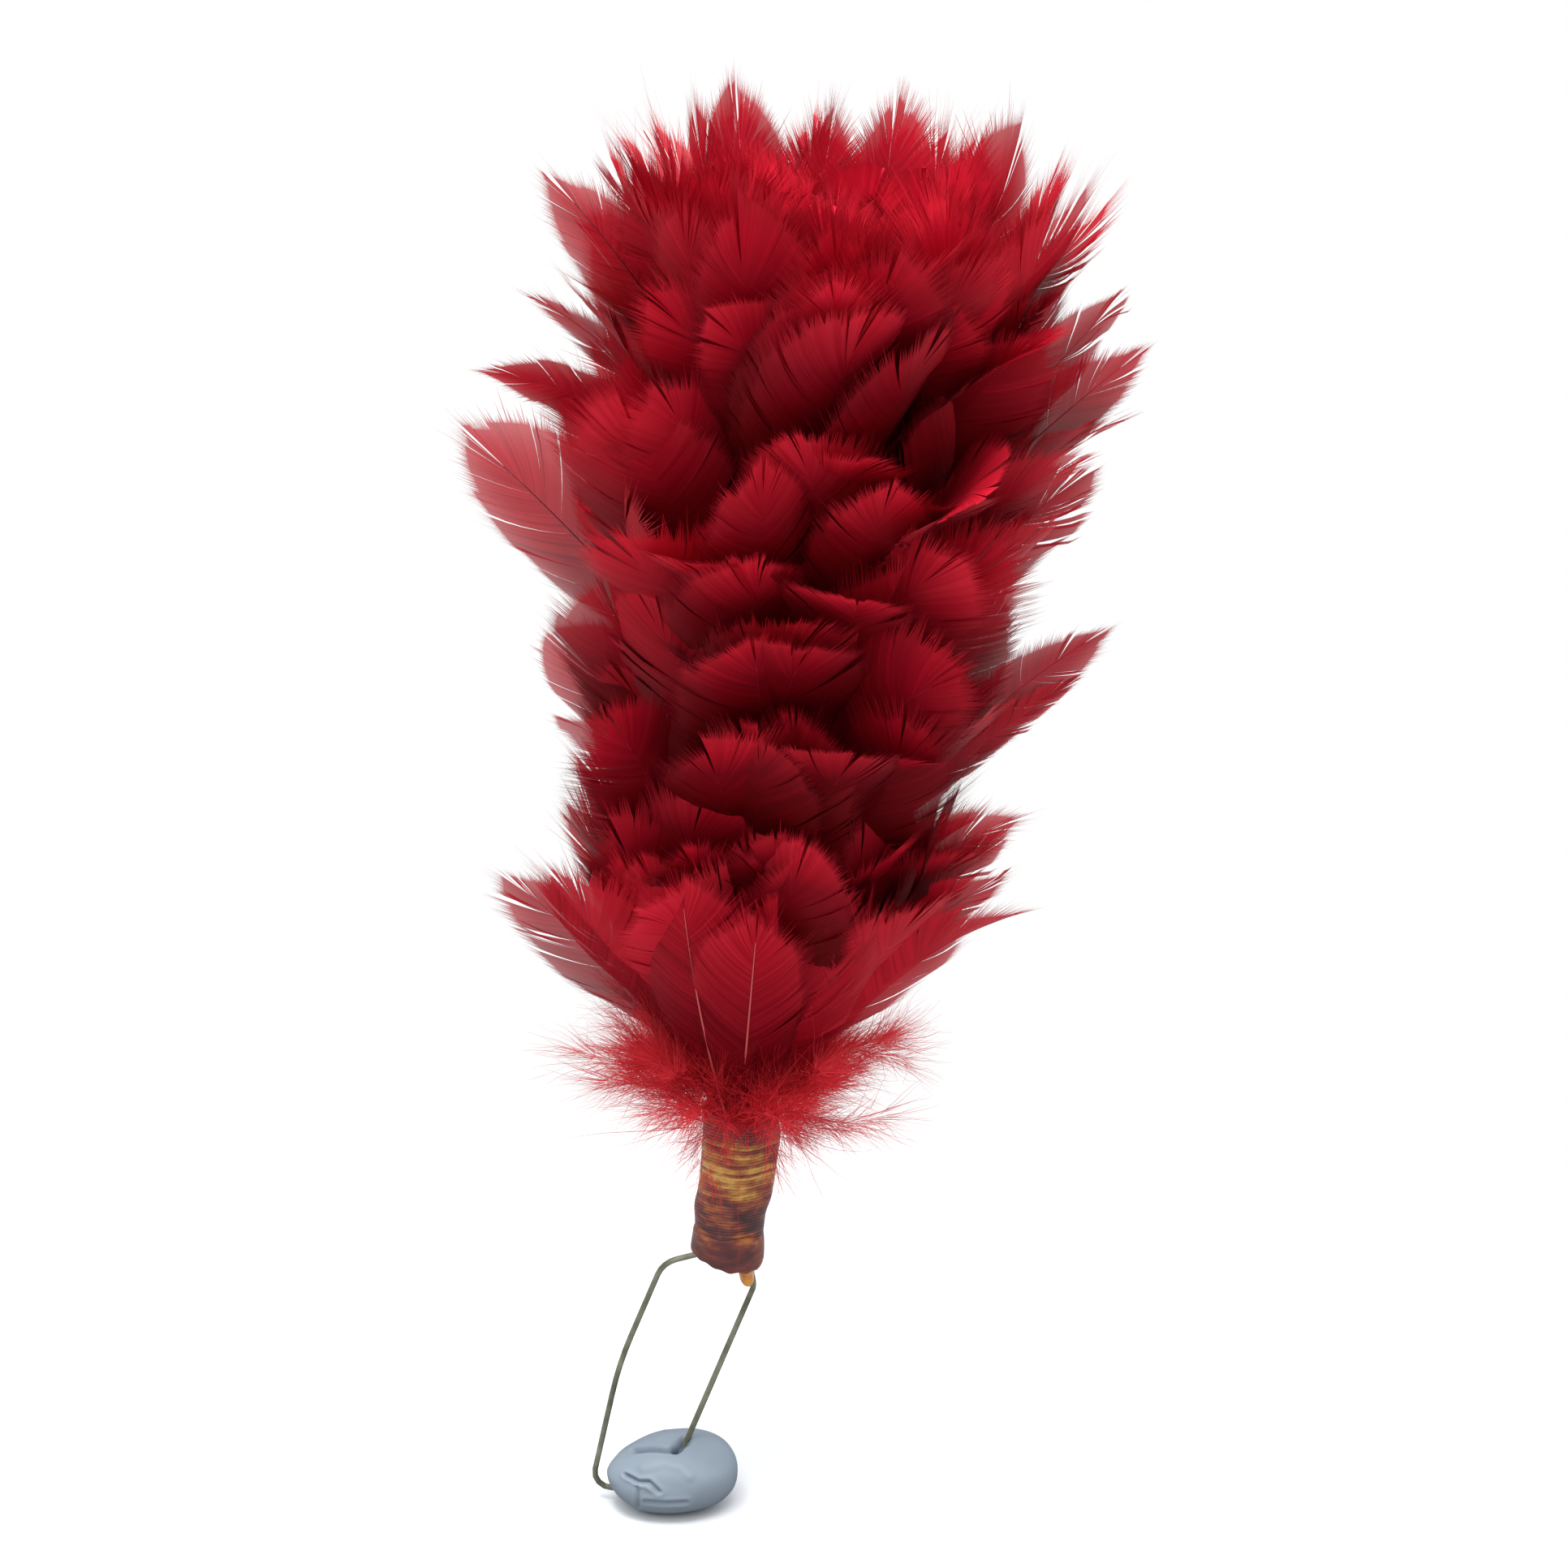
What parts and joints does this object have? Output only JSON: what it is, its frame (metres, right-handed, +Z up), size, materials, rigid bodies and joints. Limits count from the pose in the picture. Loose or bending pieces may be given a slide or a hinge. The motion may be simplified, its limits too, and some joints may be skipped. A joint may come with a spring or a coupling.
{
  "type": "feather hackle",
  "caption": "Tall red feather cap plume in flared tiers on a thread-wrapped stem, with a bent wire loop stood up in a lump of putty.",
  "frame": {"origin": "centre of the putty foot's flat underside, on the table", "axes": "+Z up, +X the way the plume leans, -Y the side seen in the picture; the wire loop lies in the XZ plane"},
  "size_m": [0.0927, 0.0766, 0.2054],
  "materials": {
    "feather": "matte",
    "thread": "satin",
    "varnished_band": "satin",
    "amber_glue": "gloss",
    "wire": "satin",
    "cane": "matte",
    "putty": "matte"
  },
  "bodies": {
    "foot": {"putty_foot": "putty"},
    "plume": {"core_rod": "cane", "crown_inner_feathers_1": "feather", "crown_inner_feathers_2": "feather", "crown_inner_feathers_3": "feather", "crown_inner_feathers_4": "feather", "crown_inner_lashing": "thread", "crown_outer_feathers_1": "feather", "crown_outer_feathers_2": "feather", "crown_outer_feathers_3": "feather", "crown_outer_feathers_4": "feather", "crown_outer_feathers_5": "feather", "crown_outer_lashing": "thread", "end_band": "varnished_band", "glue_bead": "amber_glue", "stem_wrap": "thread", "tier_1_feathers_1": "feather", "tier_1_feathers_2": "feather", "tier_1_feathers_3": "feather", "tier_1_feathers_4": "feather", "tier_1_feathers_5": "feather", "tier_1_feathers_6": "feather", "tier_2_feathers_1": "feather", "tier_2_feathers_2": "feather", "tier_2_feathers_3": "feather", "tier_2_feathers_4": "feather", "tier_2_feathers_5": "feather", "tier_2_lashing": "thread", "tier_3_feathers_1": "feather", "tier_3_feathers_2": "feather", "tier_3_feathers_3": "feather", "tier_3_feathers_4": "feather", "tier_3_feathers_5": "feather", "tier_3_lashing": "thread", "tier_4_feathers_1": "feather", "tier_4_feathers_2": "feather", "tier_4_feathers_3": "feather", "tier_4_feathers_4": "feather", "tier_4_feathers_5": "feather", "tier_4_lashing": "thread", "tier_5_feathers_1": "feather", "tier_5_feathers_2": "feather", "tier_5_feathers_3": "feather", "tier_5_feathers_4": "feather", "tier_5_feathers_5": "feather", "tier_5_lashing": "thread", "tier_6_feathers_1": "feather", "tier_6_feathers_2": "feather", "tier_6_feathers_3": "feather", "tier_6_feathers_4": "feather", "tier_6_feathers_5": "feather", "tier_6_lashing": "thread", "tier_7_feathers_1": "feather", "tier_7_feathers_2": "feather", "tier_7_feathers_3": "feather", "tier_7_feathers_4": "feather", "tier_7_feathers_5": "feather", "tier_7_lashing": "thread", "wire_loop": "wire"}
  },
  "joints": [
    {"name": "plume_lift", "type": "slide", "parent": "foot", "child": "plume", "axis": [0.3657, 0, 0.9307], "range_m": [0, 0.03]}
  ]
}
